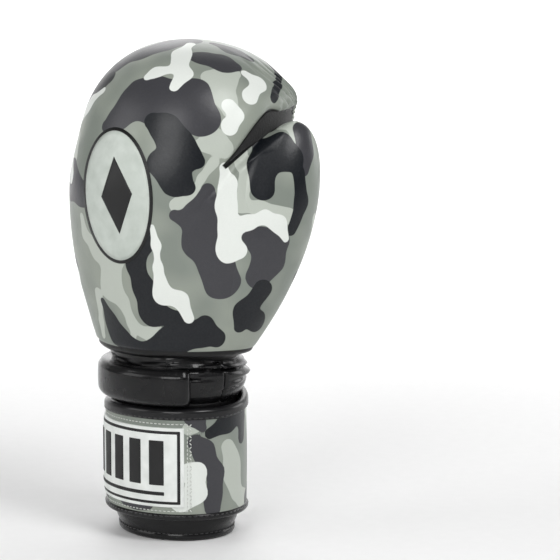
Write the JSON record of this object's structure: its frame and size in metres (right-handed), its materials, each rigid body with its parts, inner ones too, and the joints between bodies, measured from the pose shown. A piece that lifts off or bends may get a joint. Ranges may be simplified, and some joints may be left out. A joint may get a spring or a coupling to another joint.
{
  "type": "boxing glove",
  "caption": "Left-hand padded boxing glove with an attached thumb, a black leather palm and cuff, and a wide wrap-round hook-and-loop wrist strap with a label.",
  "frame": {"origin": "centre of the cuff mouth, where the wrist goes in, on the plane the hem stands on", "axes": "+Z from the cuff mouth to the knuckles, -Y out of the back of the hand, +Y out of the palm, +X to the thumb side"},
  "size_m": [0.1487, 0.1357, 0.29],
  "materials": {
    "camo_leather": "satin coated synthetic leather printed with a grey camouflage",
    "black_leather": "glossy black synthetic leather",
    "foam": "cream closed-cell foam",
    "lining_fabric": "dark woven nylon lining",
    "hook_loop": "black hook-and-loop pile",
    "label_white": "white moulded label",
    "label_black": "black moulded label edge"
  },
  "bodies": {
    "cuff": {"cuff_shell": "black_leather", "cuff_foam": "foam", "cuff_lining": "lining_fabric", "cuff_hem": "black_leather", "wrist_gusset": "black_leather", "wrist_bar_foam": "foam", "wrist_bar_cover": "black_leather", "loop_pad": "hook_loop", "strap_root_panel": "camo_leather", "strap_root_binding": "black_leather"},
    "hand": {"fist_shell": "camo_leather", "palm_shell": "black_leather", "outer_foam": "foam", "inner_foam": "foam", "palm_padding": "foam", "hand_lining": "lining_fabric", "grip_bar": "foam", "crease_strip": "black_leather", "badge": "label_white", "size_tag": "label_white"},
    "thumb": {"thumb_shell": "camo_leather", "thumb_inner_panel": "black_leather", "thumb_foam": "foam", "thumb_lining": "lining_fabric"},
    "strap_palm": {"strap_palm_panel": "camo_leather", "strap_palm_binding": "black_leather"},
    "strap_thumb": {"strap_thumb_panel": "camo_leather", "strap_thumb_binding": "black_leather"},
    "strap_end": {"strap_end_panel": "camo_leather", "strap_end_binding": "black_leather", "hook_pad": "hook_loop", "strap_label": "label_white", "label_frame": "label_black"}
  },
  "joints": [
    {"name": "wrist_flex", "type": "hinge", "parent": "cuff", "child": "hand", "pos_m": [0, 0, 0.1], "axis": [-1, 0, 0], "range_deg": [-4, 18], "stiffness_Nm_per_rad": 4, "deforming": ["wrist_gusset"]},
    {"name": "thumb_flex", "type": "hinge", "parent": "hand", "child": "thumb", "pos_m": [0.0368, 0.0128, 0.1252], "axis": [-0.7071, 0.7071, 0], "range_deg": [0, 6], "stiffness_Nm_per_rad": 1.5},
    {"name": "strap_palm_fold", "type": "hinge", "parent": "cuff", "child": "strap_palm", "pos_m": [-0.03902, 0.02253, 0.047], "axis": [0, 0, 1], "range_deg": [0, 46]},
    {"name": "strap_thumb_fold", "type": "hinge", "parent": "strap_palm", "child": "strap_thumb", "pos_m": [0.01693, 0.03804, 0.047], "axis": [0, 0, 1], "range_deg": [0, 76]},
    {"name": "strap_peel", "type": "hinge", "parent": "strap_thumb", "child": "strap_end", "pos_m": [0.04385, -0.01425, 0.047], "axis": [0, 0, 1], "range_deg": [0, 150]}
  ],
  "couplings": [
    {"joint": "strap_palm_fold", "follows": "strap_peel", "ratio": 0.3},
    {"joint": "strap_thumb_fold", "follows": "strap_peel", "ratio": 0.5}
  ]
}
